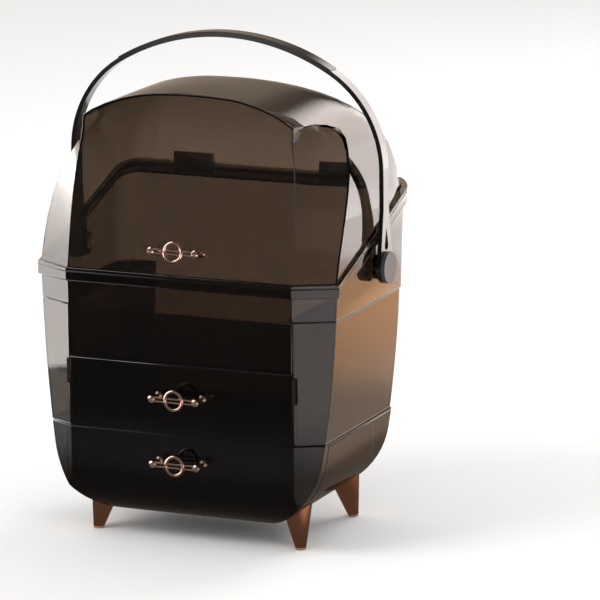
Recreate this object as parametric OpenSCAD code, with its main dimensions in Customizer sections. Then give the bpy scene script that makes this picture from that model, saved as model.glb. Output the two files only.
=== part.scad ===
// Dustproof makeup organizer: an egg-shaped case on four legs, with a hinged dome lid,
// a folding handle, two side doors and two drawers.
// +X is the right side, +Y the back and +Z up. The origin is on the ground, in the middle.

/* [Body] */
// Width of the case at the rim
body_w = 283; // [240:1:330]
// Depth from the front face to the foot of the back
body_d = 164.5; // [145:1:205]
// Width of each corner facet, seen from the front
corner_w = 34.5; // [24:0.5:48]
// Depth of the two corner facets at the rim
facet_d = 18; // [14:1:26]
// Thickness of the case walls
wall = 2.5; // [1.8:0.1:3.5]
// Lean of the back, in degrees
back_tilt = 6.2; // [3:0.1:7]
// Radius of the bulge of each side, seen from the front
side_r = 1215; // [900:5:2000]
// Radius of the vertical corners at the back
back_r = 19; // [12:1:22]

/* [Heights above the ground] */
// Underside of the base
foot_h = 21; // [16:1:36]
// Top of the drawer deck
deck_z = 101; // [90:1:115]
// Top of the middle drawer
drawer_z = 164; // [150:1:175]
// Top of the doors, where the side ledges lie
ledge_z = 211; // [198:1:222]
// Rim of the case at the front
rim_z = 240; // [232:1:256]
// Top of the dome
dome_z = 401.5; // [370:0.5:430]
// Height of the handle's pivots
pivot_z = 241.5; // [232:0.5:244]

/* [Base] */
// Radius of the round bottom at the sides
base_side_r = 74; // [45:1:78]
// Radius under the front
base_front_r = 38; // [16:1:44]
// Radius under the back
base_back_r = 32; // [16:1:36]
// Depth of the bottom drawer's rounded cap
cap_d = 22.5; // [18:0.5:30]

/* [Rim and lid] */
// Height of the rim band
rim_h = 8; // [6:0.5:12]
// Overhang of the rim band
rim_out = 2.7; // [1.5:0.1:4]
// Slope of the rim along the sides, in degrees
rim_slope = 19.9; // [12:0.1:22]
// Height of the lid's lip
lip_h = 3; // [2:0.5:5]
// Thickness of the lid
lid_wall = 2.2; // [1.6:0.1:3]
// Lean of the lid's front face, in degrees
face_lean = 10; // [6:0.5:14]
// Distance of the dome's crown behind the front face
crown_d = 97; // [80:1:108]
// Swell of the lid's back above its hinges
back_swell = 3; // [0:0.1:5]
// Angle in plan of the lid's corner facets at their top, in degrees
facet_top_a = 84; // [70:1:88]

/* [Doors] */
// Thickness of the door walls
door_wall = 2.2; // [1.6:0.1:3]
// Distance of the door hinges in front of the back
door_hinge_back = 6.4; // [6.2:0.1:9]
// Distance of the hinge line inside the outer surface at the deck
door_hinge_in = 5.5; // [4.5:0.1:8]
// Height of the pocket's retaining wall
pocket_h = 36; // [20:1:60]
// Number of necklace hooks
hook_n = 7; // [3:1:9]

/* [Drawers] */
// Distance of the bottom drawer's straight sides inside the case
box_in = 27.5; // [25.5:0.5:45]
// Thickness of the drawer walls
drawer_wall = 2; // [1.5:0.1:3]

/* [Handle] */
// Distance of the handle's arms outside the case, to their outer faces
arm_out = 9.5; // [6.5:0.5:18]
// Width of the handle's strap
strap_w = 12; // [9:0.5:16]
// Thickness of the handle's strap
strap_t = 4; // [3:0.5:6]
// Distance of the pivots behind the front face
pivot_d = 106; // [90:1:120]
// Height of the straight part of the arms above the pivots
arm_h = 85.5; // [60:0.5:110]
// Radius of the handle's crown
crown_r = 200; // [180:1:240]
// Radius of the handle's shoulders
shoulder_r = 100; // [70:1:110]
// Thickness of the grip on the crown
grip_t = 0.9; // [0.6:0.1:2]
// Radius of the eyes and of the caps over them
eye_r = 14; // [12:0.5:17]
// Thickness of the pivot caps
cap_t = 3.4; // [2.5:0.1:6]
// Diameter of the pivot studs
stud_dia = 6; // [5:0.5:8]

/* [Knobs] */
// Diameter of the ring, over the wire
ring_dia = 19; // [14:0.5:24]
// Diameter of the ring's wire
ring_wire = 2.6; // [2:0.1:3.5]
// Distance between the studs
bar_l = 42; // [30:1:56]
// Distance of the ring from the panel
knob_out = 14.5; // [11:0.5:20]
// Height of the lid knob
lid_knob_z = 264; // [258:1:280]
// Height of the middle drawer knob
mid_knob_z = 135.5; // [120:0.5:150]
// Height of the bottom drawer knob
low_knob_z = 77; // [62:0.5:88]

/* [Legs] */
// Distance of the feet inside the sides of the case
leg_in = 43.1; // [38:0.1:60]
// Distance of the front feet behind the front face
leg_front_d = 33; // [24:1:45]
// Distance of the back feet in front of the back
leg_back_in = 13; // [12:1:42]
// Diameter of a foot
leg_tip = 9; // [7:0.5:14]
// Diameter of a leg at the top
leg_top = 23; // [18:0.5:28]
// Splay of the legs, in degrees
leg_splay = 9; // [0:0.5:14]

/* [Fits] */
// Gap round the doors and drawers
gap = 0.8; // [0.5:0.1:1.2]
// Gap between the lid and the rim
seam = 0.4; // [0.3:0.1:0.8]
// Radial clearance of the turning pins
pin_gap = 0.05; // [0.02:0.01:0.1]
// Diameter of the hinge pins
pin_dia = 4; // [3:0.5:5]

/* [Hidden] */
$fn = 48;
big = 600;
eps = 0.01;
hw = body_w / 2;
fw = hw - corner_w;
smoke = [0.30, 0.26, 0.24, 0.55];
dark_smoke = [0.16, 0.13, 0.12, 0.7];
rose_gold = [0.80, 0.52, 0.40];
pale_gold = [0.90, 0.72, 0.60];
steel = [0.75, 0.75, 0.77];
matt_grey = [0.42, 0.40, 0.42];

// Front face, placed so that the whole object is centred front to back
back_reach = ((rim_z - deck_z + (body_d - facet_d) * tan(rim_slope)) * tan(back_tilt) + rim_out)
    / (1 - tan(rim_slope) * tan(back_tilt));
knuckle_r = 3.6;
hinge_y_out = 4;
front_reach = knob_out + 2.4;
fy = -(body_d + back_reach + hinge_y_out + knuckle_r - front_reach) / 2;
by = fy + body_d;

// Front view of the body: two large side arcs and two round bottom corners
side_cx = hw - side_r;
side_cz = rim_z + 20;
foot_flat = 0.3;                         // the flat underside cuts this far into the roundings round it
corner_z = foot_h + base_side_r - foot_flat;
corner_x = side_cx + sqrt(pow(side_r - base_side_r, 2) - pow(side_cz - corner_z, 2));
corner_a = atan2(corner_z - side_cz, corner_x - side_cx);
function half_w(z) = side_cx + sqrt(pow(side_r, 2) - pow(z - side_cz, 2));

// Rim line, seen from the side
knee_y = fy + facet_d;
function rim_at(y) = rim_z + max(0, y - knee_y) * tan(rim_slope);
function back_at(z) = by + (z - deck_z) * tan(back_tilt);

// ---- Shared profiles ----

module foot_corner(inset) {
    c = [corner_x, corner_z];
    difference() {
        polygon([c, c + big * [cos(corner_a), sin(corner_a)], c + big * [1, -1], c + big * [0, -1]]);
        translate(c) circle(base_side_r - inset, $fn = 180);
    }
}

// Front view, X across and Z up
module front_profile(inset = 0) {
    difference() {
        intersection() {
            translate([side_cx, side_cz]) circle(side_r - inset, $fn = 720);
            translate([-side_cx, side_cz]) circle(side_r - inset, $fn = 720);
            translate([-big, foot_h + inset]) square([2 * big, big]);
        }
        foot_corner(inset);
        mirror([1, 0]) foot_corner(inset);
    }
}

// What the rounding of a bottom edge takes away, from the start of the rounding outwards
module edge_round(r, l) {
    difference() {
        translate([0, -1]) square([l, r + 1 - foot_flat]);
        translate([0, r - foot_flat]) circle(r, $fn = 96);
    }
}

// Side view, Y across and Z up: the front is upright, and both bottom edges are rounded
module side_profile(inset = 0) {
    // a hair proud of the leaning back, so that they meet in one clean edge
    foot_y = by - (deck_z - foot_h - base_back_r) * tan(back_tilt) + 0.05;
    z = foot_h + inset;
    difference() {
        translate([fy + inset, z]) square([big, big]);
        translate([fy + base_front_r, z]) mirror([1, 0])
            edge_round(base_front_r - inset, base_front_r - inset + 1);
        translate([foot_y - base_back_r, z]) edge_round(base_back_r - inset, big);
    }
}

// Plan of the front and its two corner facets
facet_a = atan2(facet_d, hw - fw);
module front_plan(inset = 0) {
    x1 = fw - inset * tan(facet_a / 2);
    y1 = fy + inset;
    x2 = x1 + 90 * cos(facet_a);
    y2 = y1 + 90 * sin(facet_a);
    polygon([[-x1, y1], [x1, y1], [x2, y2], [x2, big], [-x2, big], [-x2, y2]]);
}

// Back of the body: an upright block with two rounded corners, leaning back
module back_block(inset = 0) {
    translate([0, by, deck_z]) rotate([-back_tilt, 0, 0]) translate([0, 0, -big / 2])
        linear_extrude(big + 200) union() {
            translate([-hw + back_r, -big]) square([2 * (hw - back_r), big - inset]);
            translate([-hw + inset, -big]) square([2 * (hw - inset), big - back_r]);
            for (s = [-1, 1]) translate([s * (hw - back_r), -back_r]) circle(back_r - inset, $fn = 96);
        }
}

// The whole outer form of the body, or a form a given distance inside it
module body_form(inset = 0) {
    intersection() {
        translate([0, big, 0]) rotate([90, 0, 0]) linear_extrude(2 * big) front_profile(inset);
        translate([-big, 0, 0]) rotate([90, 0, 90]) linear_extrude(2 * big) side_profile(inset);
        linear_extrude(big) front_plan(inset);
        back_block(inset);
    }
}

// Everything below the rim line, raised by dz
module below_rim(dz = 0) {
    far = fy + 2 * body_d;
    translate([-big, 0, 0]) rotate([90, 0, 90]) linear_extrude(2 * big)
        polygon([[fy - 60, 0], [far, 0], [far, rim_at(far) + dz], [knee_y, rim_z + dz], [fy - 60, rim_z + dz]]);
}

module zone(x1, x2, y1, y2, z1, z2) {
    translate([x1, y1, z1]) cube([x2 - x1, y2 - y1, z2 - z1]);
}

module both_sides() {
    children();
    mirror([1, 0, 0]) children();
}

module countersunk_screw(l, shank, head) {
    cylinder(d = shank, h = l);
    translate([0, 0, l - shank / 2]) cylinder(d1 = shank, d2 = head, h = shank / 2);
}

// ---- Places and levels worked out from the sizes above ----

wall_x = fw - gap;                       // outer face of the centre walls
bay_x = wall_x - wall;                   // inner face of the centre walls
deck_under = deck_z - wall;
seam_y = fy + cap_d;                     // seam between the cap of the bottom drawer and the base
door_x = fw + gap / 2;                   // free edge of the doors, next to the front face
door_z1 = deck_z + 1;
door_z2 = ledge_z - 1;
axis_x = half_w(deck_z) - door_hinge_in;
axis_y = by - door_hinge_back;
pivot_y = fy + pivot_d;
rim_back_y = by + back_reach;
hinge_y = rim_back_y + hinge_y_out;
hinge_z = rim_at(rim_back_y) + seam;
hinge_x = hw / 2;
crown_y = fy + crown_d;
drawer_lift = 5.5;                       // room under the bottom drawer for the leg screws

// ---- Base ----

leg_back_d = body_d - leg_back_in;
leg_places = [[-1, leg_front_d, -1], [1, leg_front_d, -1], [-1, leg_back_d, 1], [1, leg_back_d, 1]];
leg_shank = 4;
leg_pad = 6.2;
runner_x = 50;
box_hw = hw - box_in;
boss_x = box_hw + 8;
leg_x = hw - leg_in;
screw_dia = 3;
boss_ys = [seam_y + 12, by - 14];

// Stands a shape on the foot of one leg, along the leg's axis
module on_leg(p) {
    translate([p[0] * leg_x, fy + p[1], 0]) rotate([p[2] * leg_splay, -p[0] * leg_splay, 0]) children();
}

// Distance along a leg's axis to the middle of its seat
leg_seat = corner_z + 1 - sqrt(pow(base_side_r, 2) - pow(leg_x - foot_h * tan(leg_splay) - corner_x, 2));

module base_shell() {
    color(smoke) difference() {
        union() {
            difference() {
                intersection() {
                    body_form();
                    zone(-big, big, seam_y, big, 0, deck_under);
                }
                body_form(wall);
            }
            // runners under the drawer
            both_sides() intersection() {
                body_form(eps);
                zone(runner_x, runner_x + 3, seam_y + 2, by - 30, foot_h + 1,
                    foot_h + wall + drawer_lift - 0.3);
            }
            // bosses for the deck's screws
            both_sides() for (y = boss_ys) intersection() {
                body_form(1);
                translate([boss_x, y, deck_z - 50]) cylinder(r = screw_boss_r, h = deck_under - deck_z + 50);
            }
            // seats for the leg screws
            for (p = leg_places) intersection() {
                body_form(eps);
                on_leg(p) cylinder(r = leg_pad, h = leg_seat + wall + 1);
            }
        }
        for (p = leg_places) on_leg(p) cylinder(d = leg_shank + 0.2, h = 80);
        both_sides() for (y = boss_ys) translate([boss_x, y, deck_under - 16])
            cylinder(d = screw_dia + 0.1, h = 20);
    }
}

module leg(p) {
    color(rose_gold) difference() {
        intersection() {
            on_leg(p) translate([0, 0, -5]) cylinder(h = 50, d1 = leg_tip - (leg_top - leg_tip) / 6,
                d2 = leg_tip + (leg_top - leg_tip) * 45 / 30, $fn = 64);
            zone(-big, big, -big, big, 0, corner_z);
        }
        body_form(-0.05);
        on_leg(p) translate([0, 0, leg_seat - 13]) cylinder(d = leg_shank, h = 60);
    }
}

module leg_screws() {
    color(steel) for (p = leg_places) on_leg(p) {
        translate([0, 0, leg_seat - 12]) cylinder(d = leg_shank, h = 12 + wall + 1);
        translate([0, 0, leg_seat + wall + 1]) cylinder(d = 8, h = 2.2);
    }
}

module drawer_deck() {
    color(smoke) difference() {
        union() {
            intersection() {
                body_form();
                zone(-big, big, seam_y, big, deck_under, deck_z);
            }
            // tongue over the cap of the bottom drawer
            intersection() {
                body_form(wall + gap);
                zone(-big, big, fy, seam_y + 1, deck_under, deck_z);
            }
        }
        both_sides() {
            translate([axis_x, axis_y, deck_under - 1]) cylinder(d = pin_dia + 2 * pin_gap, h = 10);
            for (y = boss_ys) translate([boss_x, y, deck_z - 14]) countersunk_screw(14.01, 3.2, 6.2);
            translate([case_screw_x, case_screw_y, deck_under - 1]) cylinder(d = 3.4, h = 10);
        }
    }
}

module deck_screws() {
    color(steel) both_sides() for (y = boss_ys)
        translate([boss_x, y, deck_z - 14]) countersunk_screw(14, screw_dia, 6);
}

// ---- Case ----

screw_boss_r = 4;
case_screw_x = bay_x - screw_boss_r + 0.5;
case_screw_y = by - wall - screw_boss_r + 0.5;
post_x = axis_x - 6;
pivot_boss_r = 11;

// The door hinge's turned surface: the outline of the side, spun about the hinge line
module hinge_round(out) {
    rotate_extrude($fn = 96) intersection() {
        translate([-axis_x, 0]) front_profile(-out);
        translate([0, deck_z - 20]) square([big, ledge_z - deck_z + 40]);
    }
}

// Along the right pivot, from x1 to x2
module on_pivot(x1, x2, r) {
    translate([x1, pivot_y, pivot_z]) rotate([0, 90, 0]) cylinder(r = r, h = x2 - x1);
}

module case_side() {
    // centre wall beside the drawer bay
    intersection() {
        body_form();
        zone(bay_x, wall_x, fy + wall + 0.3, big, deck_z, ledge_z + 1);
    }
    // ledge over the door
    intersection() {
        body_form();
        zone(bay_x, big, fy, big, ledge_z, ledge_z + wall);
    }
    // post behind the door, hollowed to clear the door's turned edge
    difference() {
        intersection() {
            body_form();
            zone(wall_x - 1, post_x, axis_y + gap, big, deck_z, ledge_z + 1);
        }
        translate([axis_x, axis_y, 0]) hinge_round(gap);
    }
    // boss in the back corner of the drawer bay, for the screw that comes up through the deck
    translate([case_screw_x, case_screw_y, deck_z]) cylinder(r = screw_boss_r, h = 18);
    // boss that carries the handle
    difference() {
        on_pivot(hw - 4, arm_x - strap_t - 0.3, pivot_boss_r);
        body_form(wall / 2);
    }
}

module case_body() {
    color(smoke) difference() {
        union() {
            // walls over the doors, up to the rim
            difference() {
                intersection() {
                    body_form();
                    zone(-big, big, -big, big, ledge_z, big);
                    below_rim();
                }
                body_form(wall);
            }
            // rim band
            difference() {
                intersection() {
                    body_form(-rim_out);
                    below_rim();
                }
                below_rim(-rim_h);
                body_form(wall);
            }
            // front and floor of the tray
            zone(-wall_x, wall_x, fy, fy + wall, drawer_z, ledge_z + 1);
            intersection() {
                body_form();
                zone(-wall_x, wall_x, fy, big, drawer_z, drawer_z + wall);
            }
            // back wall behind the drawer bay
            difference() {
                intersection() {
                    body_form();
                    zone(-wall_x, wall_x, axis_y, big, deck_z, ledge_z + 1);
                }
                body_form(wall);
            }
            both_sides() case_side();
        }
        both_sides() {
            on_pivot(hw - 12, arm_x, stud_dia / 2 + pin_gap);
            translate([axis_x, axis_y, ledge_z - 1]) cylinder(d = pin_dia + 2 * pin_gap, h = 10);
            translate([case_screw_x, case_screw_y, deck_z - 1]) cylinder(d = screw_dia + 0.1, h = 15);
        }
    }
}

module case_screws() {
    color(steel) both_sides() translate([case_screw_x, case_screw_y, deck_under - 2.2]) {
        cylinder(d = screw_dia, h = 14);
        cylinder(d = 5.6, h = 2);
    }
}

strike_w = 3.4;
strike_d = 7;
strike_h = 22;

module strike() {
    color("black") zone(wall_x, wall_x + strike_w, fy - 0.4, fy + strike_d,
        catch_z - strike_h / 2, catch_z + strike_h / 2);
}

module left_strike() { mirror([1, 0, 0]) strike(); }
module right_strike() { strike(); }

// ---- Lid hinges ----

hinge_l = 38;
lid_knuckle_l = 15;
hinge_pin_r = 1.5;

// Frame at the middle of a hinge's pin, leaning with the back
module on_hinge() {
    for (s = [-1, 1]) translate([s * hinge_x, hinge_y, hinge_z]) rotate([-back_tilt, 0, 0]) children();
}

module knuckle(x1, x2, r) {
    translate([x1, 0, 0]) rotate([0, 90, 0]) cylinder(r = r, h = x2 - x1);
}

module case_hinges() {
    a = hinge_l / 2;
    b = lid_knuckle_l / 2 + 0.5;
    color(steel) on_hinge() difference() {
        union() {
            zone(-a, a, -knuckle_r - 0.2, -knuckle_r + 1.3, -8, -0.3);
            knuckle(-a, -b, knuckle_r);
            knuckle(b, a, knuckle_r);
        }
        knuckle(-b, b, knuckle_r + 0.4);
        knuckle(-a - 1, a + 1, hinge_pin_r + pin_gap);
    }
}

module lid_hinges() {
    a = hinge_l / 2;
    b = lid_knuckle_l / 2;
    color(steel) on_hinge() difference() {
        union() {
            zone(-a, a, -knuckle_r - 0.2, -knuckle_r + 1.3, 0.3, 11);
            knuckle(-b, b, knuckle_r);
        }
        knuckle(-a - 1, -b - 0.5, knuckle_r + 0.4);
        knuckle(b + 0.5, a + 1, knuckle_r + 0.4);
        knuckle(-a - 1, a + 1, hinge_pin_r + pin_gap);
    }
}

module hinge_pins() {
    color(steel) on_hinge() knuckle(-hinge_l / 2 - 0.5, hinge_l / 2 + 0.5, hinge_pin_r);
}

// ---- Lid ----

dome_c = dome_z - rim_z;
dome_b_back = back_at(rim_at(rim_back_y)) - crown_y;
dome_b_front = 247;
back_swell_from = 0.44;
dome_rows = 18;
function lean_y(z) = fy + (z - rim_z - lip_h) * tan(face_lean);

// Plan angles of one quarter, closer together at its corner
function quarter(n) = [for (i = [0:n - 1]) let (u = 2 * i / n - 1)
    45 + 45 * sign(u) * pow(abs(u), 1.7)];
dome_angles = concat(quarter(12), [90], [for (i = [11:-1:1]) 180 - quarter(12)[i]],
    [for (a = quarter(6)) 180 + a], [270], [for (i = [5:-1:1]) 360 - quarter(6)[i]]);

// One point of the dome: row angle psi climbs from 0 at the rim to 90 at the crown
function dome_point(psi, phi, inset) = let (
    t = sqrt(sin(psi)),
    m = 2.3 + 7.7 * (1 - pow(t, 5)),
    r = pow(pow(abs(cos(phi)), m) + pow(abs(sin(phi)), m), -1 / m) * cos(psi),
    above = max(0, t - back_swell_from) / (1 - back_swell_from),
    b = sin(phi) > 0 ? dome_b_back + back_swell * sin(180 * above) : dome_b_front)
    [r * cos(phi) * (hw - inset), crown_y + r * sin(phi) * (b - inset), rim_z + t * (dome_c - inset)];

module dome(inset) {
    n = len(dome_angles);
    foot = [for (a = dome_angles) let (p = dome_point(0, a, inset)) [p[0], p[1], rim_z - 15 + inset]];
    rings = [for (i = [0:dome_rows - 1]) for (a = dome_angles)
        dome_point(90 * pow(i / dome_rows, 1.5), a, inset)];
    points = concat(foot, rings, [[0, crown_y, dome_z - inset]]);
    top = len(points) - 1;
    sides = [for (i = [0:dome_rows - 1]) for (j = [0:n - 1]) let (k = (j + 1) % n)
        each [[i * n + j, (i + 1) * n + j, (i + 1) * n + k], [i * n + j, (i + 1) * n + k, i * n + k]]];
    cap = [for (j = [0:n - 1]) [dome_rows * n + j, top, dome_rows * n + (j + 1) % n]];
    polyhedron(points, concat(sides, cap, [[for (j = [0:n - 1]) j]]));
}

// Right corner facet: a ruled surface that turns as it climbs. This is what it cuts away.
facet_rows = 22;
facet_steps = [-45, -7, 8, 19, 30, 42, 55, 70, 86, 103, 125, 190];
function facet_a_at(z) = facet_a + (facet_top_a - facet_a) * pow(min(1, max(0, z - rim_z) / 132), 1.6);
function facet_x_at(z) = fw - 7 * pow(min(1, max(0, z - rim_z) / 120), 3);
module facet_cut(inset) {
    m = len(facet_steps) + 2;
    points = [for (i = [0:facet_rows]) let (z = rim_z - 20 + i * 9, a = facet_a_at(z),
        d = [cos(a), sin(a)], out = [sin(a), -cos(a)], p = [facet_x_at(z), lean_y(z)] - inset * out)
        each [for (q = concat([p - 45 * d + 140 * out, p + 190 * d + 140 * out],
            [for (k = [m - 3:-1:0]) p + facet_steps[k] * d])) [q[0], q[1], z]]];
    sides = [for (i = [0:facet_rows - 1]) for (j = [0:m - 1]) let (k = (j + 1) % m)
        each [[m * i + j, m * (i + 1) + j, m * (i + 1) + k], [m * i + j, m * (i + 1) + k, m * i + k]]];
    polyhedron(points, concat(sides, [[for (j = [0:m - 1]) j], [for (j = [m - 1:-1:0]) m * facet_rows + j]]));
}

module lid_form(inset) {
    difference() {
        intersection() {
            dome(inset);
            translate([-big, fy, rim_z + lip_h]) rotate([-face_lean, 0, 0])
                translate([0, inset, -big]) cube(2 * big);
        }
        facet_cut(inset);
        mirror([1, 0, 0]) facet_cut(inset);
    }
}

// Frame on the lid's front face at its knob
module on_lid_face() {
    translate([0, lean_y(lid_knob_z), lid_knob_z]) rotate([-face_lean, 0, 0]) children();
}

module lid() {
    color(smoke) difference() {
        union() {
            difference() {
                lid_form(0);
                lid_form(lid_wall);
                below_rim(seam);
            }
            difference() {
                intersection() {
                    body_form(-rim_out);
                    below_rim(seam + lip_h);
                }
                below_rim(seam);
                body_form(wall);
            }
            // pads behind the hinge leaves
            on_hinge() zone(-hinge_l / 2, hinge_l / 2, -knuckle_r - 4, -knuckle_r - 0.25, 0.3, 11);
        }
        on_lid_face() for (s = [-1, 1]) translate([s * bar_l / 2, 10, 0])
            rotate([90, 0, 0]) cylinder(d = 3.2, h = 20);
    }
}

// ---- Handle ----

arm_x = hw + arm_out;
arch_a = acos((arm_x - shoulder_r) / (crown_r - shoulder_r));
arch_c = pivot_z + arm_h - (crown_r - shoulder_r) * sin(arch_a);
eye_in = arm_x - strap_t;

// Front view of everything inside the arch, a given distance within its outer face
module arch_profile(inset) {
    big_r = 2 * crown_r;
    translate([-arm_x + inset, pivot_z + 30]) square([2 * (arm_x - inset), arm_h - 30]);
    for (s = [-1, 1]) translate([s * (arm_x - shoulder_r), pivot_z + arm_h])
        circle(shoulder_r - inset, $fn = 180);
    intersection() {
        translate([0, arch_c]) circle(crown_r - inset, $fn = 240);
        translate([0, arch_c]) polygon([[0, 0], big_r * [cos(arch_a), sin(arch_a)], [0, big_r],
            big_r * [-cos(arch_a), sin(arch_a)]]);
    }
}

// Side view of the eye and its web, with the window above the eye
module eye_profile() {
    difference() {
        union() {
            circle(eye_r, $fn = 72);
            polygon([[-eye_r * 0.96, eye_r * 0.28], [eye_r * 0.96, eye_r * 0.28],
                [strap_w / 2, 52], [-strap_w / 2, 52]]);
        }
        translate([0, eye_r + 5.6]) circle(4);
        polygon([[-3.8, eye_r + 6.8], [3.8, eye_r + 6.8], [0.4, eye_r + 20], [-0.4, eye_r + 20]]);
    }
}

module handle() {
    color(dark_smoke) difference() {
        union() {
            translate([0, pivot_y + strap_w / 2, 0]) rotate([90, 0, 0]) linear_extrude(strap_w)
                difference() {
                    intersection() {
                        arch_profile(0);
                        translate([-big, pivot_z + 40]) square([2 * big, big]);
                    }
                    arch_profile(strap_t);
                }
            both_sides() translate([eye_in, pivot_y, pivot_z]) rotate([90, 0, 90])
                linear_extrude(strap_t) eye_profile();
        }
        both_sides() on_pivot(eye_in - 1, arm_x + 1, stud_dia / 2 + pin_gap);
    }
}

module handle_grip() {
    a = 90 - arch_a;
    color(dark_smoke) translate([0, pivot_y + strap_w / 2 + 0.5, 0]) rotate([90, 0, 0])
        linear_extrude(strap_w + 1) translate([0, arch_c]) intersection() {
            difference() {
                circle(crown_r + grip_t, $fn = 240);
                circle(crown_r, $fn = 240);
            }
            polygon([[0, 0], 2 * crown_r * [sin(a), cos(a)], [0, 2 * crown_r], 2 * crown_r * [-sin(a), cos(a)]]);
        }
}

module pivot_stud() {
    color(steel) {
        on_pivot(hw - wall - 3, arm_x + 2.2, stud_dia / 2);
        on_pivot(hw - wall - 3, hw - wall - 0.6, stud_dia);
    }
}

module pivot_cap() {
    color(matt_grey) difference() {
        on_pivot(arm_x + 0.3, arm_x + 0.3 + cap_t, eye_r);
        on_pivot(arm_x, arm_x + 2.3, stud_dia / 2 + pin_gap);
    }
}

module left_pivot_stud() { mirror([1, 0, 0]) pivot_stud(); }
module right_pivot_stud() { pivot_stud(); }
module left_pivot_cap() { mirror([1, 0, 0]) pivot_cap(); }
module right_pivot_cap() { pivot_cap(); }

// ---- Doors ----

catch_z = 150;
catch_l = 18;
catch_h = 6;

// Frame on the inner face of the right door's corner facet: X along it, Y inwards
module on_facet() {
    translate([fw, fy, catch_z]) rotate([0, 0, facet_a]) translate([0, door_wall, 0]) children();
}

module door_zone(z1 = door_z1, z2 = door_z2) {
    zone(door_x, big, fy - 1, axis_y, z1, z2);
}

module door() {
    color(smoke) difference() {
        union() {
            difference() {
                intersection() {
                    body_form();
                    door_zone();
                }
                body_form(door_wall);
            }
            // floor, pocket wall and end wall
            intersection() {
                body_form();
                union() {
                    door_zone(z2 = door_z1 + door_wall);
                    zone(door_x, door_x + door_wall, fy, axis_y, door_z1, door_z1 + pocket_h);
                    zone(door_x, big, axis_y - door_wall, axis_y, door_z1, door_z2);
                }
            }
            // turned hinge edge
            translate([axis_x, axis_y, 0]) intersection() {
                difference() {
                    hinge_round(0);
                    hinge_round(-door_wall);
                }
                zone(-big, big, -eps, big, door_z1, door_z2);
            }
            // hinge bosses at the top and the bottom
            translate([axis_x, axis_y, 0]) for (z = [door_z1, door_z2 - 14])
                translate([0, 0, z]) cylinder(d = pin_dia + 5, h = 14);
        }
        for (z = [door_z1 - 1, door_z2 - 13]) translate([axis_x, axis_y, z])
            cylinder(d = pin_dia + 2 * pin_gap, h = 14);
        // notch round the strike
        zone(0, wall_x + strike_w + gap, fy - 2, fy + strike_d + gap,
            catch_z - strike_h / 2 - gap, catch_z + strike_h / 2 + gap);
    }
}

module left_door() { mirror([1, 0, 0]) door(); }
module right_door() { door(); }

module door_pins() {
    color(steel) translate([axis_x, axis_y, 0]) {
        translate([0, 0, deck_under]) cylinder(d = pin_dia, h = door_z1 + 12.5 - deck_under);
        translate([0, 0, door_z2 - 12.5]) cylinder(d = pin_dia, h = ledge_z + wall - door_z2 + 12.5);
    }
}

module left_door_pins() { mirror([1, 0, 0]) door_pins(); }
module right_door_pins() { door_pins(); }

module magnet_catch() {
    r = catch_h / 2;
    color("black") on_facet() {
        zone(6 + r, 6 + catch_l - r, 0, 4, -r, r);
        for (x = [6 + r, 6 + catch_l - r]) translate([x, 4, 0]) rotate([90, 0, 0]) cylinder(r = r, h = 4);
    }
}

module left_catch() { mirror([1, 0, 0]) magnet_catch(); }
module right_catch() { magnet_catch(); }

rail_z = ledge_z - 16;
rail_x = door_x + 3;
rail_end = axis_y - 30;
first_hook_y = knee_y + 8;
hook_pitch = (rail_end - 18.1 - first_hook_y) / (hook_n - 1);

module hook_rail() {
    hook_x = rail_x + 8;
    color(dark_smoke) {
        intersection() {
            body_form(door_wall + 0.1);
            union() {
                zone(rail_x, big, fy, rail_end, rail_z, rail_z + 2);
                zone(rail_x, rail_x + 2, fy, rail_end, rail_z, door_z2 - 1);
            }
        }
        for (i = [0:hook_n - 1]) translate([hook_x, first_hook_y + i * hook_pitch, rail_z]) {
            translate([0, 0, -9]) cylinder(r = 1.2, h = 10);
            translate([0, 0, -9]) rotate([0, -90, 0]) cylinder(r = 1.2, h = 6);
            translate([-6, 0, -9]) cylinder(r = 1.2, h = 4);
            translate([0, 0, -9]) sphere(r = 1.2);
            translate([-6, 0, -9]) sphere(r = 1.2);
        }
    }
}

// ---- Drawers ----

mid_x = bay_x - 0.6;
mid_back = case_screw_y - screw_boss_r - 1.5;
low_back = by - wall - 8;
low_top = deck_under - gap;

module middle_drawer() {
    z1 = deck_z + 0.4;
    z2 = drawer_z - gap;
    color(smoke) difference() {
        union() {
            zone(-wall_x, wall_x, fy, fy + wall, z1, z2);
            zone(-mid_x, mid_x, fy + 1, mid_back, z1, z2 - 4);
        }
        zone(-mid_x + drawer_wall, mid_x - drawer_wall, fy + wall, mid_back - drawer_wall,
            z1 + drawer_wall, drawer_z);
        knob_holes(mid_knob_z);
    }
}

module bottom_drawer() {
    color(smoke) difference() {
        union() {
            // rounded cap
            difference() {
                intersection() {
                    body_form();
                    zone(-big, big, fy - 1, seam_y - gap, 0, deck_z - 0.5);
                }
                body_form(wall);
            }
            // box
            intersection() {
                union() {
                    body_form(wall + drawer_lift);
                    intersection() {
                        body_form(wall / 2);
                        zone(-big, big, fy, seam_y - gap, 0, low_top);
                    }
                }
                zone(-box_hw, box_hw, fy, low_back, 0, low_top);
            }
        }
        intersection() {
            body_form(wall + drawer_lift + drawer_wall);
            zone(-box_hw + drawer_wall, box_hw - drawer_wall, fy, low_back - drawer_wall, 0, deck_z);
        }
        knob_holes(low_knob_z);
    }
}

// ---- Knobs ----

module knob_holes(z) {
    for (s = [-1, 1]) translate([s * bar_l / 2, fy + 20, z]) rotate([90, 0, 0]) cylinder(d = 3.2, h = 30);
}

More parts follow.
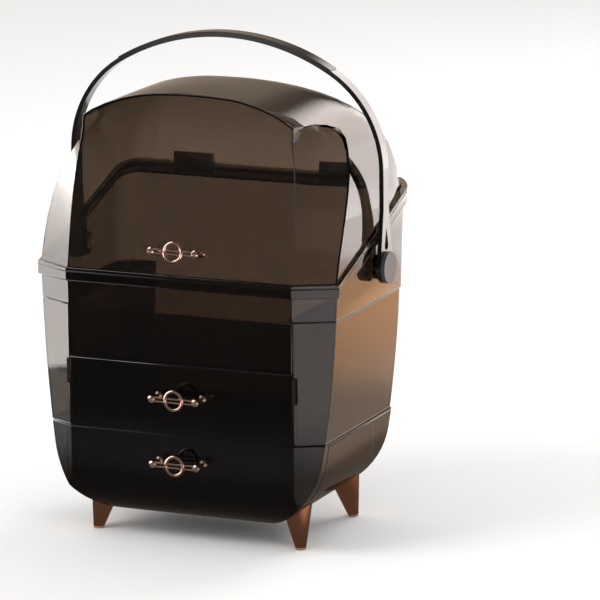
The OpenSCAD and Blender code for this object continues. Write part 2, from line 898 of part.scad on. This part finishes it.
// Knob on a panel at Y = 0, standing out towards -Y
module knob() {
    wire = ring_wire / 2;
    color(pale_gold) {
        translate([0, -knob_out, 0]) rotate([90, 0, 0]) rotate_extrude($fn = 72)
            translate([ring_dia / 2 - wire, 0]) circle(wire);
        for (z = [-1.6, 1.6]) translate([1.2 - bar_l / 2, -knob_out, z]) rotate([0, 90, 0])
            cylinder(r = 0.85, h = bar_l - 2.4);
        for (s = [-1, 1]) translate([s * bar_l / 2, 0, 0]) rotate([90, 0, 0]) difference() {
            rotate_extrude() polygon([[0, 0.05], [3.6, 0.05], [3.6, 1.2], [2.2, 3.5], [1.8, 8],
                [2.2, knob_out - 3.5], [3.1, knob_out - 1.6], [3.1, knob_out + 1.2], [2.3, knob_out + 2],
                [0, knob_out + 2.4]]);
            translate([0, 0, -1]) cylinder(d = 2.5, h = 9);
        }
    }
}

// Screws of a knob on a panel of the given thickness
module knob_screws(t) {
    color(steel) for (s = [-1, 1]) translate([s * bar_l / 2, 0, 0]) rotate([90, 0, 0]) {
        translate([0, 0, -t]) cylinder(d = 2.4, h = t + 7);
        translate([0, 0, -t - 1.9]) cylinder(d = 5.5, h = 1.8);
    }
}

module lid_knob() { on_lid_face() knob(); }
module lid_knob_screws() { on_lid_face() knob_screws(lid_wall); }
module middle_drawer_knob() { translate([0, fy, mid_knob_z]) knob(); }
module middle_drawer_screws() { translate([0, fy, mid_knob_z]) knob_screws(wall); }
module bottom_drawer_knob() { translate([0, fy, low_knob_z]) knob(); }
module bottom_drawer_screws() {
    translate([0, fy, low_knob_z]) knob_screws(wall + drawer_lift + drawer_wall);
}

module front_left_leg() { leg(leg_places[0]); }
module front_right_leg() { leg(leg_places[1]); }
module back_left_leg() { leg(leg_places[2]); }
module back_right_leg() { leg(leg_places[3]); }

base_shell();
drawer_deck();
case_body();
case_hinges();
lid();
lid_hinges();
hinge_pins();
lid_knob();
lid_knob_screws();
handle();
handle_grip();
left_pivot_stud();
right_pivot_stud();
left_pivot_cap();
right_pivot_cap();
left_door();
right_door();
left_door_pins();
right_door_pins();
left_catch();
right_catch();
left_strike();
right_strike();
hook_rail();
middle_drawer();
middle_drawer_knob();
middle_drawer_screws();
bottom_drawer();
bottom_drawer_knob();
bottom_drawer_screws();
front_left_leg();
front_right_leg();
back_left_leg();
back_right_leg();
leg_screws();
deck_screws();
case_screws();
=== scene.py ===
import math

import bmesh
import bpy
from mathutils import Matrix, Vector
from mathutils.bvhtree import BVHTree


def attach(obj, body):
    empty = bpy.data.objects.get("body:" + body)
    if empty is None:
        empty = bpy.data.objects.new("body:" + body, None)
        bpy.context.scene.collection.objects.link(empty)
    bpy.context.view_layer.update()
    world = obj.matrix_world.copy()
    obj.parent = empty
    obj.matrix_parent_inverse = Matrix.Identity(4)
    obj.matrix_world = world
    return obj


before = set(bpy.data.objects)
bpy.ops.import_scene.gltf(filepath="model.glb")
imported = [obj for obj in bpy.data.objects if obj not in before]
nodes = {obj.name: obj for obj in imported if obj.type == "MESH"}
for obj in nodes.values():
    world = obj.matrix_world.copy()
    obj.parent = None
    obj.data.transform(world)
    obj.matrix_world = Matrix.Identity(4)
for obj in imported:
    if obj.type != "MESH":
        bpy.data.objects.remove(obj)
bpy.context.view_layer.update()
print("frame loaded:", len(nodes), "nodes")


# Small tools for shader graphs
def link(tree, start, end):
    tree.links.new(start, end)


def addNode(tree, kind, **values):
    node = tree.nodes.new(kind)
    for name, value in values.items():
        if name in node.inputs:
            node.inputs[name].default_value = value
        else:
            setattr(node, name, value)
    return node


def newGroup(name, inputs, outputs):
    group = bpy.data.node_groups.new(name, "ShaderNodeTree")
    for label, value in inputs.items():
        socket = group.interface.new_socket(label, in_out="INPUT", socket_type="NodeSocketFloat")
        socket.default_value = value
    for label, kind in outputs.items():
        group.interface.new_socket(label, in_out="OUTPUT", socket_type=kind)
    return group, group.nodes.new("NodeGroupInput"), group.nodes.new("NodeGroupOutput")


def makeHandledGloss():
    # Uneven gloss where hands and cloths have been: broad smears with finer breaks in them
    group, given, out = newGroup("handledGloss", {"Scale": 20, "Low": 0.05, "High": 0.15},
                                 {"Roughness": "NodeSocketFloat"})
    place = addNode(group, "ShaderNodeTexCoord")
    broad = addNode(group, "ShaderNodeTexNoise", Detail=4.0, Roughness=0.6, Distortion=0.8)
    link(group, place.outputs["Object"], broad.inputs["Vector"])
    link(group, given.outputs["Scale"], broad.inputs["Scale"])
    spread = addNode(group, "ShaderNodeMapRange")
    spread.inputs["From Min"].default_value = 0.35
    spread.inputs["From Max"].default_value = 0.7
    link(group, broad.outputs["Fac"], spread.inputs["Value"])
    link(group, given.outputs["Low"], spread.inputs["To Min"])
    link(group, given.outputs["High"], spread.inputs["To Max"])
    link(group, spread.outputs["Result"], out.inputs["Roughness"])
    return group


def makeMouldRipple():
    # The slow unevenness of a moulded face, and the faint grain of its tool
    group, given, out = newGroup("mouldRipple", {"Ripple Scale": 25, "Grain Scale": 900, "Grain": 0.1},
                                 {"Height": "NodeSocketFloat"})
    place = addNode(group, "ShaderNodeTexCoord")
    ripple = addNode(group, "ShaderNodeTexNoise", Detail=1.0)
    grain = addNode(group, "ShaderNodeTexNoise", Detail=3.0)
    for noise, label in ((ripple, "Ripple Scale"), (grain, "Grain Scale")):
        link(group, place.outputs["Object"], noise.inputs["Vector"])
        link(group, given.outputs[label], noise.inputs["Scale"])
    share = addNode(group, "ShaderNodeMath", operation="MULTIPLY")
    link(group, grain.outputs["Fac"], share.inputs[0])
    link(group, given.outputs["Grain"], share.inputs[1])
    total = addNode(group, "ShaderNodeMath", operation="ADD")
    link(group, ripple.outputs["Fac"], total.inputs[0])
    link(group, share.outputs["Value"], total.inputs[1])
    link(group, total.outputs["Value"], out.inputs["Height"])
    return group


def makeDrawnMetal():
    # Fine lines left by polishing, drawn along one direction, and a slight change of tone
    group, given, out = newGroup("drawnMetal", {"Line Scale": 300, "Stretch": 12, "Tone": 0.2},
                                 {"Height": "NodeSocketFloat", "Tone": "NodeSocketFloat"})
    place = addNode(group, "ShaderNodeTexCoord")
    apart = addNode(group, "ShaderNodeSeparateXYZ")
    link(group, place.outputs["Object"], apart.inputs["Vector"])
    squeeze = addNode(group, "ShaderNodeMath", operation="DIVIDE")
    link(group, apart.outputs["Z"], squeeze.inputs[0])
    link(group, given.outputs["Stretch"], squeeze.inputs[1])
    along = addNode(group, "ShaderNodeCombineXYZ")
    link(group, apart.outputs["X"], along.inputs["X"])
    link(group, apart.outputs["Y"], along.inputs["Y"])
    link(group, squeeze.outputs["Value"], along.inputs["Z"])
    lines = addNode(group, "ShaderNodeTexNoise", Detail=2.0)
    link(group, along.outputs["Vector"], lines.inputs["Vector"])
    link(group, given.outputs["Line Scale"], lines.inputs["Scale"])
    cloud = addNode(group, "ShaderNodeTexNoise", Scale=35.0, Detail=3.0)
    link(group, place.outputs["Object"], cloud.inputs["Vector"])
    tone = addNode(group, "ShaderNodeMath", operation="MULTIPLY")
    link(group, cloud.outputs["Fac"], tone.inputs[0])
    link(group, given.outputs["Tone"], tone.inputs[1])
    link(group, lines.outputs["Fac"], out.inputs["Height"])
    link(group, tone.outputs["Value"], out.inputs["Tone"])
    return group


groups = {
    "gloss": makeHandledGloss(),
    "ripple": makeMouldRipple(),
    "drawn": makeDrawnMetal(),
}
print("shader groups made:", len(groups))


def placeGroup(tree, name, **values):
    node = tree.nodes.new("ShaderNodeGroup")
    node.node_tree = groups[name]
    for label, value in values.items():
        node.inputs[label.replace("_", " ")].default_value = value
    return node


def startMaterial(name):
    material = bpy.data.materials.new(name)
    material.use_nodes = True
    tree = material.node_tree
    shader = tree.nodes["Principled BSDF"]
    output = tree.nodes["Material Output"]
    return material, tree, shader, output


def addBump(tree, shader, height, strength, distance):
    bump = addNode(tree, "ShaderNodeBump", Strength=strength, Distance=distance)
    link(tree, height, bump.inputs["Height"])
    link(tree, bump.outputs["Normal"], shader.inputs["Normal"])


# "clear" is the share of light that one millimetre of the plastic lets through, in red, green and blue
plastics = {
    "smokedLid": {"clear": (0.62, 0.575, 0.53), "face": (0.96, 0.94, 0.92), "low": 0.01, "high": 0.05},
    "smokedCase": {"clear": (0.50, 0.45, 0.41), "face": (0.95, 0.93, 0.91), "low": 0.01, "high": 0.06},
    "smokedDoor": {"clear": (0.56, 0.51, 0.46), "face": (0.95, 0.93, 0.91), "low": 0.01, "high": 0.05},
    "smokedHinge": {"clear": (0.60, 0.555, 0.51), "face": (0.96, 0.94, 0.92), "low": 0.02, "high": 0.08},
    "smokedDrawer": {"clear": (0.42, 0.37, 0.33), "face": (0.94, 0.92, 0.90), "low": 0.015, "high": 0.07},
}
clearIndex = 1.49       # how strongly the clear plastic bends light
densityMargin = 1.05    # keeps the colour of the absorption above black


def smokedPlastic(name):
    make = plastics[name]
    material, tree, shader, output = startMaterial(name)
    shader.inputs["Base Color"].default_value = (*make["face"], 1)
    shader.inputs["Transmission Weight"].default_value = 1
    shader.inputs["IOR"].default_value = clearIndex
    gloss = placeGroup(tree, "gloss", Scale=14, Low=make["low"], High=make["high"])
    link(tree, gloss.outputs["Roughness"], shader.inputs["Roughness"])
    ripple = placeGroup(tree, "ripple", Ripple_Scale=11, Grain_Scale=600, Grain=0.02)
    addBump(tree, shader, ripple.outputs["Height"], strength=0.12, distance=0.0006)
    # Light on its way to a lamp passes straight through, so the pieces inside are lit
    path = addNode(tree, "ShaderNodeLightPath")
    straight = addNode(tree, "ShaderNodeBsdfTransparent", Color=(*make["face"], 1))
    choose = addNode(tree, "ShaderNodeMixShader")
    link(tree, path.outputs["Is Shadow Ray"], choose.inputs["Fac"])
    link(tree, shader.outputs["BSDF"], choose.inputs[1])
    link(tree, straight.outputs["BSDF"], choose.inputs[2])
    link(tree, choose.outputs["Shader"], output.inputs["Surface"])
    # One density for all three colours, and the colour takes up the difference
    loss = [-math.log(share) * 1000 for share in make["clear"]]    # for each metre
    density = max(loss) * densityMargin
    body = addNode(tree, "ShaderNodeVolumeAbsorption", Density=density)
    body.inputs["Color"].default_value = (*[1 - k / density for k in loss], 1)
    link(tree, body.outputs["Volume"], output.inputs["Volume"])
    return material


solids = {
    "handleBlack": {"colour": (0.006, 0.005, 0.005), "low": 0.05, "high": 0.14, "coat": 0.5, "grain": 0.05},
    "gripBlack": {"colour": (0.012, 0.009, 0.008), "low": 0.12, "high": 0.24, "coat": 0.3, "grain": 0.25},
    "capGrey": {"colour": (0.05, 0.051, 0.06), "low": 0.42, "high": 0.55, "coat": 0.0, "grain": 0.6},
    "magnetBlack": {"colour": (0.006, 0.005, 0.005), "low": 0.3, "high": 0.45, "coat": 0.1, "grain": 0.4},
    # painted shade: opaque near-black plastic for the edge strips, standing in for the darkness where light
    # runs a long way through the clear plastic
    "paintedEdgeShade": {"colour": (0.004, 0.003, 0.003), "low": 0.04, "high": 0.1, "coat": 0.4, "grain": 0.02},
}
solidTones = (0.8, 1.3)     # darkest and palest share of a solid plastic's colour
coatRoughness = 0.05


def solidPlastic(name):
    make = solids[name]
    material, tree, shader, _ = startMaterial(name)
    shader.inputs["Coat Weight"].default_value = make["coat"]
    shader.inputs["Coat Roughness"].default_value = coatRoughness
    gloss = placeGroup(tree, "gloss", Scale=30, Low=make["low"], High=make["high"])
    link(tree, gloss.outputs["Roughness"], shader.inputs["Roughness"])
    ripple = placeGroup(tree, "ripple", Ripple_Scale=30, Grain_Scale=1800, Grain=make["grain"])
    addBump(tree, shader, ripple.outputs["Height"], strength=0.15, distance=0.0004)
    tint = addNode(tree, "ShaderNodeMix", data_type="RGBA")
    for label, tone in zip("AB", solidTones):
        tint.inputs[label].default_value = (*[c * tone for c in make["colour"]], 1)
    link(tree, ripple.outputs["Height"], tint.inputs["Factor"])
    link(tree, tint.outputs["Result"], shader.inputs["Base Color"])
    return material


metals = {
    "legCopper": {"pale": (0.66, 0.36, 0.23), "deep": (0.34, 0.15, 0.08), "low": 0.12, "high": 0.22},
    "knobGold": {"pale": (0.92, 0.70, 0.58), "deep": (0.72, 0.45, 0.35), "low": 0.08, "high": 0.17},
    "hingeSteel": {"pale": (0.55, 0.53, 0.52), "deep": (0.36, 0.35, 0.34), "low": 0.22, "high": 0.36},
}


def polishedMetal(name):
    make = metals[name]
    material, tree, shader, _ = startMaterial(name)
    shader.inputs["Metallic"].default_value = 1
    gloss = placeGroup(tree, "gloss", Scale=60, Low=make["low"], High=make["high"])
    link(tree, gloss.outputs["Roughness"], shader.inputs["Roughness"])
    drawn = placeGroup(tree, "drawn", Line_Scale=420, Stretch=14, Tone=1.0)
    addBump(tree, shader, drawn.outputs["Height"], strength=0.06, distance=0.0002)
    tint = addNode(tree, "ShaderNodeMix", data_type="RGBA")
    tint.inputs["A"].default_value = (*make["pale"], 1)
    tint.inputs["B"].default_value = (*make["deep"], 1)
    link(tree, drawn.outputs["Tone"], tint.inputs["Factor"])
    link(tree, tint.outputs["Result"], shader.inputs["Base Color"])
    return material


materials = {}
materials.update({name: smokedPlastic(name) for name in plastics})
materials.update({name: solidPlastic(name) for name in solids})
materials.update({name: polishedMetal(name) for name in metals})
print("materials made:", len(materials))

# What each piece of the frame is made of
finishes = {
    "smokedLid": ["lid"],
    "smokedCase": ["case_body", "drawer_deck", "base_shell"],
    "smokedDoor": ["left_door", "right_door", "hook_rail"],
    "smokedDrawer": ["middle_drawer", "bottom_drawer"],
    "handleBlack": ["handle"],
    "gripBlack": ["handle_grip"],
    "capGrey": ["left_pivot_cap", "right_pivot_cap"],
    "magnetBlack": ["left_catch", "right_catch", "left_strike", "right_strike"],
    "legCopper": ["front_left_leg", "front_right_leg", "back_left_leg", "back_right_leg"],
    "knobGold": ["lid_knob", "middle_drawer_knob", "bottom_drawer_knob"],
    "smokedHinge": ["case_hinges", "lid_hinges"],
    "hingeSteel": ["hinge_pins", "left_pivot_stud", "right_pivot_stud",
                   "left_door_pins", "right_door_pins", "lid_knob_screws", "middle_drawer_screws",
                   "bottom_drawer_screws", "leg_screws", "deck_screws", "case_screws"],
}
creases = {"lid": 11}     # degrees between two faces beyond which the edge between them stays crisp
usualCrease = 20
samePlace = 5             # decimals of a metre to which two points count as one


def spotOf(point):
    return tuple(round(c, samePlace) for c in point)


def smoothFaces(mesh, crease):
    # Each corner takes the mean direction of the faces that meet there within the crease angle, and a face
    # counts by the angle of its own corner, so thin faces don't pull the mean aside
    spots = [spotOf(vertex.co) for vertex in mesh.vertices]
    meets, least = {}, math.cos(math.radians(crease))
    for face in mesh.polygons:
        ring = [mesh.vertices[k].co for k in face.vertices]
        for i, k in enumerate(face.vertices):
            turn = (ring[i - 1] - ring[i]).angle(ring[(i + 1) % len(ring)] - ring[i], 0)
            meets.setdefault(spots[k], []).append((face.normal.copy(), turn))
    normals = []
    for face in mesh.polygons:
        for k in face.vertices:
            total = Vector()
            for normal, turn in meets[spots[k]]:
                if normal.dot(face.normal) > least:
                    total += normal * turn
            normals.append(total.normalized() if total.length > 0 else face.normal.copy())
    mesh.shade_smooth()
    mesh.normals_split_custom_set(normals)


for name, pieces in finishes.items():
    for piece in pieces:
        mesh = nodes[piece].data
        mesh.materials.clear()
        mesh.materials.append(materials[name])
        smoothFaces(mesh, creases.get(piece, usualCrease))
print("finishes placed")

# Painted shade along the moulded edges: thin opaque near-black rounded strips stand in for the dark look
# where light runs a long way through the clear plastic, and their rounding catches real highlights
edging = {
    "radius": 0.00034,       # of the rounding
    "rounding": 1,           # 0 gives a line four sides, and each step adds two
    "sink": 0.00022,         # how far its middle lies inside the edge
    "turn": 38,              # least degrees between the two faces
    "shortest": 0.012,       # runs under this length are left plain
    "clear": 0.03,           # nothing of the same node this near in front of the edge
    "lift": 0.0003,          # where the look forward from an edge starts
    "merge": 0.00002,        # points nearer than this are one
    "flat": 0.5,             # faces that turn less than these degrees are one
}
edged = {
    "lid": "lid", "case_body": "case", "base_shell": "case", "left_door": "left_door",
    "right_door": "right_door", "middle_drawer": "middle_drawer", "bottom_drawer": "bottom_drawer",
}


def outerEdges(node):
    # Convex edges that face outwards: the two ends of each, and the way that it faces
    work = bmesh.new()
    work.from_mesh(nodes[node].data)
    bmesh.ops.remove_doubles(work, verts=work.verts, dist=edging["merge"])
    flat = math.radians(edging["flat"])
    bmesh.ops.dissolve_limit(work, angle_limit=flat, verts=work.verts, edges=work.edges)
    work.normal_update()
    tree = BVHTree.FromBMesh(work)
    found = []
    for edge in work.edges:
        if len(edge.link_faces) != 2 or not edge.is_convex:
            continue
        if edge.calc_face_angle(0) < math.radians(edging["turn"]):
            continue
        out = (edge.link_faces[0].normal + edge.link_faces[1].normal).normalized()
        middle = (edge.verts[0].co + edge.verts[1].co) / 2
        if tree.ray_cast(middle + out * edging["lift"], out, edging["clear"])[0] is None:
            found.append((edge.verts[0].co.copy(), edge.verts[1].co.copy(), out))
    work.free()
    return found


def chainEdges(found):
    # Joins the edges end to end, drops short runs, and moves the rest a little into the plastic
    ends = {}
    for k, (a, b, _) in enumerate(found):
        for point in (a, b):
            ends.setdefault(spotOf(point), []).append(k)
    used, runs = set(), []
    for k in range(len(found)):
        if k in used:
            continue
        used.add(k)
        a, b, out = found[k]
        run = [(a, out), (b, out)]
        for forward in (True, False):
            while True:
                tip = run[-1] if forward else run[0]
                near = [j for j in ends[spotOf(tip[0])] if j not in used]
                if len(near) != 1:
                    break
                used.add(near[0])
                p, q, side = found[near[0]]
                new = (q if (p - tip[0]).length < (q - tip[0]).length else p, side)
                run.insert(len(run) if forward else 0, new)
        length = sum((run[i + 1][0] - run[i][0]).length for i in range(len(run) - 1))
        if length > edging["shortest"]:
            runs.append([point - side * edging["sink"] for point, side in run])
    return runs


def addEdging(node, body):
    curve = bpy.data.curves.new(node + "_edging", "CURVE")
    curve.dimensions = "3D"
    curve.bevel_depth = edging["radius"]
    curve.bevel_resolution = edging["rounding"]
    curve.use_fill_caps = True
    for run in chainEdges(outerEdges(node)):
        spline = curve.splines.new("POLY")
        spline.points.add(len(run) - 1)
        for point, place in zip(spline.points, run):
            point.co = (*place, 1)
    curve.materials.append(materials["paintedEdgeShade"])
    piece = bpy.data.objects.new(node + "_edging", curve)
    bpy.context.scene.collection.objects.link(piece)
    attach(piece, body)
    print("edging:", node, len(curve.splines), "runs")


for node, body in edged.items():
    addEdging(node, body)

camera = {
    "azimuth": 24.63,         # degrees round from the front
    "elevation": 12.49,
    "roll": -0.62,
    "distance": 4.0444,
    "lens": 274.04,
    "sensor": 36,
    "farthest": 30,
    "sight": (0.0001, 0.0101, 0.2199),   # the point that the two offsets start from
    "aimRight": 0.0646,
    "aimDown": 0.0191,
}


def placeCamera():
    turn, rise = math.radians(camera["azimuth"]), math.radians(camera["elevation"])
    back = Vector((math.sin(turn) * math.cos(rise), -math.cos(turn) * math.cos(rise), math.sin(rise)))
    right = Vector((math.cos(turn), math.sin(turn), 0))
    up = back.cross(right)
    sight = Vector(camera["sight"])
    where = sight + back * camera["distance"]
    aim = sight + right * camera["aimRight"] - up * camera["aimDown"]
    look = (aim - where).to_track_quat("-Z", "Y").to_matrix()
    roll = Matrix.Rotation(math.radians(camera["roll"]), 3, "Z")
    lens = bpy.data.cameras.new("camera")
    lens.lens = camera["lens"]
    lens.sensor_width = camera["sensor"]
    lens.clip_end = camera["farthest"]
    eye = bpy.data.objects.new("camera", lens)
    eye.matrix_world = Matrix.Translation(where) @ (look @ roll).to_4x4()
    bpy.context.scene.collection.objects.link(eye)
    bpy.context.scene.camera = eye


studio = {
    "floorSize": 12.0,
    "floorColour": (0.86, 0.86, 0.86),
    "backdrop": (1.0, 1.0, 1.0),      # what the camera sees past the floor
    "backdropStrength": 1.0,
    "room": (1.0, 0.98, 0.96),        # what lights the floor and the plastic
    "roomStrength": 0.85,
    "gloss": (0.13, 0.118, 0.11),     # what a shiny face mirrors where no card stands
}
lamps = {
    # place, what it faces, width, height, watts
    "key": ((-1.6, -1.8, 2.2), (0, 0, 0.2), 1.6, 1.2, 40),
    "fill": ((2.2, -1.4, 1.2), (0, 0, 0.25), 1.2, 1.6, 14),
    "back": ((0.8, 2.2, 1.6), (0, 0, 0.3), 1.6, 1.0, 26),
}
cards = {
    # Cards that only shiny faces mirror, as in a studio: middle, half width, half height, how the card is
    # held, and the colours of its light at its two ends
    "leftCard": ((-0.72, 0.06, 0.60), 0.66, 1.20, "stand", (6.6, 6.3, 6.1), (4.6, 4.3, 4.1)),
    "frontDark": ((-0.55, -1.25, 0.003), 1.25, 1.30, "lie", (0.05, 0.045, 0.04), (0.14, 0.125, 0.12)),
    "underDark": ((-0.06, 0.03, 0.002), 0.42, 0.50, "lie", (0.17, 0.14, 0.12), (0.10, 0.085, 0.07)),
    "rightFront": ((0.84, -0.95, 0.004), 0.72, 0.82, "lie", (2.1, 1.9, 1.85), (1.7, 1.52, 1.48)),
    "rightNear": ((0.32, 0.05, 0.005), 0.17, 0.42, "lie", (0.75, 0.60, 0.50), (0.85, 0.62, 0.45)),
    "warmFloor": ((0.74, 0.52, 0.004), 0.66, 0.60, "lie", (1.15, 0.72, 0.47), (2.5, 1.35, 0.72)),
    "backFloor": ((0.74, 1.46, 0.003), 0.90, 0.52, "lie", (3.1, 2.8, 2.65), (3.6, 3.4, 3.3)),
    "backWhite": ((0.62, 1.85, 0.66), 0.95, 1.15, "stand", (5.2, 4.9, 4.8), (3.4, 3.0, 2.8)),
    "backTan": ((-0.9, 1.5, 0.7), 0.75, 0.7, "stand", (0.50, 0.40, 0.31), (0.42, 0.33, 0.26)),
    "topTan": ((-0.3, 1.3, 1.9), 1.6, 1.1, "lieAcross", (1.7, 1.38, 1.1), (3.0, 2.3, 1.65)),
}
cardWays = {
    # the two axes that a card spreads along, and the one along which its colour changes
    "lie": ("X", "Y", "Y"),
    "lieAcross": ("X", "Y", "X"),
    "stand": ("X", "Z", "Z"),
}
cardCloud = {"scale": 2.6, "amount": 0.5}    # soft patches in the light of every card
cardFeather = 0.22                           # share of a card over which its edge fades out


def addSheet(name, corners):
    mesh = bpy.data.meshes.new(name)
    mesh.from_pydata(corners, [], [(0, 1, 2, 3)])
    sheet = bpy.data.objects.new(name, mesh)
    bpy.context.scene.collection.objects.link(sheet)
    return sheet


def mirrorOnly(piece):
    piece.visible_camera = False
    piece.visible_diffuse = False
    piece.visible_transmission = False
    piece.visible_volume_scatter = False
    piece.visible_shadow = False


def cardTint(tree, place, along, first, last):
    # From the first colour to the last, with soft patches
    cloud = addNode(tree, "ShaderNodeTexNoise", Scale=cardCloud["scale"], Detail=1.0)
    link(tree, place.outputs["Object"], cloud.inputs["Vector"])
    patch = addNode(tree, "ShaderNodeMapRange")
    patch.inputs["To Min"].default_value = -cardCloud["amount"]
    patch.inputs["To Max"].default_value = cardCloud["amount"]
    link(tree, cloud.outputs["Fac"], patch.inputs["Value"])
    share = addNode(tree, "ShaderNodeMath", operation="ADD")
    link(tree, along, share.inputs[0])
    link(tree, patch.outputs["Result"], share.inputs[1])
    tint = addNode(tree, "ShaderNodeMix", data_type="RGBA")
    tint.inputs["A"].default_value = (*first, 1)
    tint.inputs["B"].default_value = (*last, 1)
    link(tree, share.outputs["Value"], tint.inputs["Factor"])
    return tint.outputs["Result"]


def cardBody(tree, spreads):
    # 1 over most of the card, and down to 0 at its four edges
    middle = edge = 0.5    # of a card that runs from 0 to 1
    solid = addNode(tree, "ShaderNodeMath", operation="MULTIPLY")
    for k, spread in enumerate(spreads):
        off = addNode(tree, "ShaderNodeMath", operation="SUBTRACT")
        link(tree, spread, off.inputs[0])
        off.inputs[1].default_value = middle
        far = addNode(tree, "ShaderNodeMath", operation="ABSOLUTE")
        link(tree, off.outputs["Value"], far.inputs[0])
        fade = addNode(tree, "ShaderNodeMapRange", interpolation_type="SMOOTHSTEP")
        fade.inputs["From Min"].default_value = edge
        fade.inputs["From Max"].default_value = edge - cardFeather
        link(tree, far.outputs["Value"], fade.inputs["Value"])
        link(tree, fade.outputs["Result"], solid.inputs[k])
    return solid.outputs["Value"]


def cardLight(name, way, first, last):
    material = bpy.data.materials.new(name)
    material.use_nodes = True
    tree = material.node_tree
    tree.nodes.clear()
    place = addNode(tree, "ShaderNodeTexCoord")
    apart = addNode(tree, "ShaderNodeSeparateXYZ")
    link(tree, place.outputs["Generated"], apart.inputs["Vector"])
    across, up, along = [apart.outputs[axis] for axis in cardWays[way]]
    glow = addNode(tree, "ShaderNodeEmission")
    link(tree, cardTint(tree, place, along, first, last), glow.inputs["Color"])
    clear = addNode(tree, "ShaderNodeBsdfTransparent")
    blend = addNode(tree, "ShaderNodeMixShader")
    link(tree, cardBody(tree, (across, up)), blend.inputs["Fac"])
    link(tree, clear.outputs["BSDF"], blend.inputs[1])
    link(tree, glow.outputs["Emission"], blend.inputs[2])
    end = addNode(tree, "ShaderNodeOutputMaterial")
    link(tree, blend.outputs["Shader"], end.inputs["Surface"])
    return material


def addCard(name, middle, wide, high, way, first, last):
    corners = [(-wide, -high), (wide, -high), (wide, high), (-wide, high)]
    if way == "stand":
        card = addSheet(name, [(x, 0, z) for x, z in corners])
        card.rotation_euler = (0, 0, math.atan2(middle[1], middle[0]) + math.pi / 2)
    else:
        card = addSheet(name, [(x, y, 0) for x, y in corners])
    card.location = middle
    card.data.materials.append(cardLight(name, way, first, last))
    mirrorOnly(card)


def buildSky():
    world = bpy.data.worlds.new("studio")
    world.use_nodes = True
    tree = world.node_tree
    room = tree.nodes["Background"]
    room.inputs["Color"].default_value = (*studio["room"], 1)
    room.inputs["Strength"].default_value = studio["roomStrength"]
    backdrop = addNode(tree, "ShaderNodeBackground", Color=(*studio["backdrop"], 1),
                       Strength=studio["backdropStrength"])
    gloss = addNode(tree, "ShaderNodeBackground", Color=(*studio["gloss"], 1), Strength=1.0)
    path = addNode(tree, "ShaderNodeLightPath")
    shiny = addNode(tree, "ShaderNodeMixShader")
    seen = addNode(tree, "ShaderNodeMixShader")
    link(tree, path.outputs["Is Glossy Ray"], shiny.inputs["Fac"])
    link(tree, room.outputs["Background"], shiny.inputs[1])
    link(tree, gloss.outputs["Background"], shiny.inputs[2])
    link(tree, path.outputs["Is Camera Ray"], seen.inputs["Fac"])
    link(tree, shiny.outputs["Shader"], seen.inputs[1])
    link(tree, backdrop.outputs["Background"], seen.inputs[2])
    link(tree, seen.outputs["Shader"], tree.nodes["World Output"].inputs["Surface"])
    bpy.context.scene.world = world


def buildStudio():
    side = studio["floorSize"] / 2
    floor = addSheet("floor", [(-side, -side, 0), (side, -side, 0), (side, side, 0), (-side, side, 0)])
    material, tree, shader, _ = startMaterial("paleFloor")
    shader.inputs["Base Color"].default_value = (*studio["floorColour"], 1)
    shader.inputs["Roughness"].default_value = 1.0
    shader.inputs["Specular IOR Level"].default_value = 0.0
    floor.data.materials.append(material)
    buildSky()
    for name, (place, faces, width, height, watts) in lamps.items():
        light = bpy.data.lights.new(name, "AREA")
        light.shape = "RECTANGLE"
        light.size, light.size_y, light.energy = width, height, watts
        lamp = bpy.data.objects.new(name, light)
        lamp.location = place
        lamp.visible_glossy = False
        lamp.rotation_euler = (Vector(faces) - Vector(place)).to_track_quat("-Z", "Y").to_euler()
        bpy.context.scene.collection.objects.link(lamp)
    for name, card in cards.items():
        addCard(name, *card)
    bpy.context.scene.view_settings.view_transform = "Standard"


placeCamera()
buildStudio()
print("camera and studio placed")
